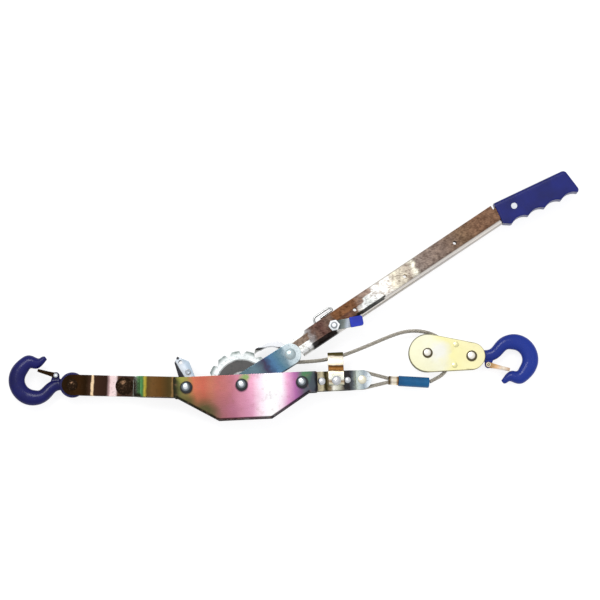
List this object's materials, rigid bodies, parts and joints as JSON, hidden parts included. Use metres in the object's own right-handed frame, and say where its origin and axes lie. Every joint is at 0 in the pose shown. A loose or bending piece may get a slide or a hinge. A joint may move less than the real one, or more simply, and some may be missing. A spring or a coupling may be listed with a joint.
{
  "type": "come along winch",
  "caption": "Hand cable puller with ratchet drum, long lever handle with grip, swivelling safety hooks and a snatch block that doubles its wire rope.",
  "frame": {"origin": "on the floor under the drum axle, at the outer face of the axle's lower rivet head", "axes": "+Z along the drum axle, up as the tool lies on its side; +X along the side plates towards the load hook"},
  "size_m": [0.7499, 0.303, 0.0449],
  "materials": {
    "side_plate": "glossy",
    "bright_zinc": "glossy",
    "front_strap": "glossy",
    "yellow_zinc": "glossy",
    "rear_strap": "glossy",
    "galvanised": "satin",
    "blue_zinc": "glossy",
    "blue_paint": "glossy",
    "wire_rope": "satin",
    "grip_plastic": "glossy",
    "sleeve_plastic": "glossy",
    "copper": "satin"
  },
  "bodies": {
    "frame": {"side_plate_top": "side_plate", "side_plate_bottom": "side_plate", "rear_bolt": "bright_zinc", "drum_axle": "bright_zinc", "front_bolt": "bright_zinc", "front_spacer": "bright_zinc", "front_strap_top": "front_strap", "front_strap_bottom": "front_strap", "link_rivet": "bright_zinc", "link_spacer": "bright_zinc", "guide_bolt": "bright_zinc", "guide_spacer": "bright_zinc", "small_rivet": "bright_zinc", "thimble_pin": "yellow_zinc", "thimble": "bright_zinc", "rope_eye": "wire_rope", "ferrule": "copper", "ferrule_sleeve": "sleeve_plastic", "rope_guide": "yellow_zinc", "rope_lead": "wire_rope", "rope_return": "wire_rope"},
    "rear_link": {"rear_strap_top": "rear_strap", "rear_strap_bottom": "rear_strap", "strap_rivet": "rear_strap", "rear_hook_pin": "rear_strap"},
    "rear_hook": {"rear_hook": "blue_paint", "rear_latch_pin": "bright_zinc"},
    "rear_latch": {"rear_latch": "rear_strap"},
    "drum": {"ratchet_wheel_top": "bright_zinc", "ratchet_wheel_bottom": "bright_zinc", "drum_barrel": "bright_zinc", "rope_winding": "wire_rope"},
    "holding_pawl": {"holding_pawl": "bright_zinc", "pawl_spring": "bright_zinc"},
    "handle": {"handle_arm_top": "blue_zinc", "handle_arm_bottom": "blue_zinc", "arm_rivet": "bright_zinc", "handle_channel": "galvanised", "grip": "grip_plastic", "grip_rivet": "bright_zinc", "lever_bolt": "bright_zinc", "lever_nut": "bright_zinc"},
    "driving_pawl": {"driving_pawl": "bright_zinc", "trip_wire": "bright_zinc"},
    "pawl_lever": {"lever_plate": "blue_zinc", "lever_cap": "grip_plastic"},
    "block": {"block_plate_top": "yellow_zinc", "block_plate_bottom": "yellow_zinc", "sheave_rivet": "yellow_zinc", "block_hook_pin": "yellow_zinc", "block_spacer_upper": "yellow_zinc", "block_spacer_lower": "yellow_zinc", "rope_bight": "wire_rope"},
    "sheave": {"sheave": "bright_zinc"},
    "load_hook": {"load_hook": "blue_paint", "load_latch_pin": "bright_zinc"},
    "load_latch": {"load_latch": "yellow_zinc"}
  },
  "joints": [
    {"name": "rear_link_swing", "type": "hinge", "parent": "frame", "child": "rear_link", "pos_m": [-0.0715, 0, 0.0217], "axis": [0, 0, 1], "range_deg": [-25, 35]},
    {"name": "rear_hook_swing", "type": "hinge", "parent": "rear_link", "child": "rear_hook", "pos_m": [-0.21944, 0.01035, 0.0217], "axis": [0, 0, 1], "range_deg": [-80, 80]},
    {"name": "rear_latch_turn", "type": "hinge", "parent": "rear_hook", "child": "rear_latch", "pos_m": [-0.24005, 0.02363, 0.0217], "axis": [0, 0, 1], "range_deg": [0, 35], "stiffness_Nm_per_rad": 0.02, "springref_deg": -20.05},
    {"name": "drum_spin", "type": "hinge", "parent": "frame", "child": "drum", "pos_m": [0, 0, 0.0217], "axis": [0, 0, 1], "range_deg": [-3960, 0]},
    {"name": "holding_pawl_swing", "type": "hinge", "parent": "frame", "child": "holding_pawl", "pos_m": [-0.0715, 0, 0.0217], "axis": [0, 0, 1], "range_deg": [-15, 7]},
    {"name": "handle_swing", "type": "hinge", "parent": "frame", "child": "handle", "pos_m": [0, 0, 0.0217], "axis": [0, 0, 1], "range_deg": [0, 77.14]},
    {"name": "driving_pawl_swing", "type": "hinge", "parent": "handle", "child": "driving_pawl", "pos_m": [0.06454, 0.03681, 0.0217], "axis": [0, 0, 1], "range_deg": [-7, 7]},
    {"name": "pawl_lever_turn", "type": "hinge", "parent": "handle", "child": "pawl_lever", "pos_m": [0.12286, 0.07125, 0.0357], "axis": [0, 0, 1], "range_deg": [-45, 20]},
    {"name": "block_slide", "type": "slide", "parent": "frame", "child": "block", "axis": [1, 0, 0], "range_m": [0, 0.68], "deforming": ["rope_lead", "rope_return"]},
    {"name": "sheave_spin", "type": "hinge", "parent": "block", "child": "sheave", "pos_m": [0.2426, 0.0313, 0.0115], "axis": [0, 0, 1], "range_deg": [-2010, 0]},
    {"name": "load_hook_swing", "type": "hinge", "parent": "block", "child": "load_hook", "pos_m": [0.2995, 0.0248, 0.0115], "axis": [0, 0, 1], "range_deg": [-80, 80]},
    {"name": "load_latch_turn", "type": "hinge", "parent": "load_hook", "child": "load_latch", "pos_m": [0.32077, 0.01262, 0.0115], "axis": [0, 0, 1], "range_deg": [0, 35], "stiffness_Nm_per_rad": 0.02, "springref_deg": -20.05}
  ],
  "couplings": [
    {"joint": "block_slide", "follows": "drum_spin", "m_per_rad": -0.0098},
    {"joint": "sheave_spin", "follows": "drum_spin", "ratio": 0.505}
  ]
}
